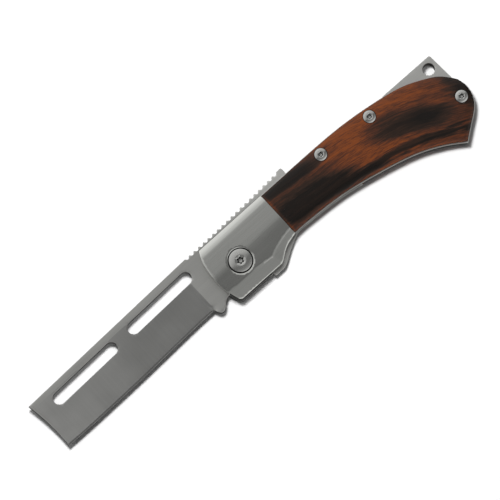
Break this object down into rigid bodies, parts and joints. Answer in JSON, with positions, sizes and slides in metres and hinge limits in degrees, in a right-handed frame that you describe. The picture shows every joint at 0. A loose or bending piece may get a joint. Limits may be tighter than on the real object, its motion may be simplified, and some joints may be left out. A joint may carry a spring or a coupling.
{
  "type": "folding straight razor",
  "caption": "Folding straight razor with a slotted square-ended blade, jimped tail, liner lock, steel bolsters and curved wooden scales.",
  "frame": {"origin": "on the pivot axis, in the plane of the rear face that the razor lies on", "axes": "+X from the pivot to the butt of the handle, +Y to the spine, +Z out of the front face; the open blade points to -X with its edge to -Y"},
  "size_m": [0.2024, 0.0411, 0.0125],
  "materials": {
    "blade_steel": "satin ground steel",
    "bolster_steel": "polished steel with a fine lengthwise grain",
    "liner_steel": "fine brushed sheet",
    "screw_steel": "turned and tumbled",
    "dyed_wood": "dyed laminated wood, glossy, red-brown with near-black bands",
    "bronze": "plain bearing bronze"
  },
  "bodies": {
    "handle": {"front_liner": "liner_steel", "rear_liner": "liner_steel", "front_bolster": "bolster_steel", "rear_bolster": "bolster_steel", "front_scale": "dyed_wood", "rear_scale": "dyed_wood", "butt_spacer": "liner_steel", "pivot_barrel": "screw_steel", "pivot_screw": "screw_steel", "front_washer": "bronze", "rear_washer": "bronze", "stop_pin": "screw_steel", "mid_standoff": "screw_steel", "rear_standoff": "screw_steel", "front_mid_screw": "screw_steel", "front_rear_screw": "screw_steel", "front_butt_screw": "screw_steel", "rear_mid_screw": "screw_steel", "rear_rear_screw": "screw_steel", "rear_butt_screw": "screw_steel", "front_bolster_screw_fore": "screw_steel", "front_bolster_screw_aft": "screw_steel", "rear_bolster_screw_fore": "screw_steel", "rear_bolster_screw_aft": "screw_steel"},
    "blade": {"blade": "blade_steel"},
    "lock_bar": {"lock_bar": "liner_steel", "detent_ball": "screw_steel"}
  },
  "joints": [
    {"name": "blade_pivot", "type": "hinge", "parent": "handle", "child": "blade", "pos_m": [0, 0, 0], "axis": [0, 0, 1], "range_deg": [0, 175], "deforming": ["lock_bar", "detent_ball"]},
    {"name": "lock_bar_bend", "type": "hinge", "parent": "handle", "child": "lock_bar", "pos_m": [0.054, 0, 0.00362], "axis": [0, -1, 0], "range_deg": [0, 1.6]}
  ],
  "couplings": [
    {"joint": "lock_bar_bend", "follows": "blade_pivot", "ratio": 0.00886}
  ]
}
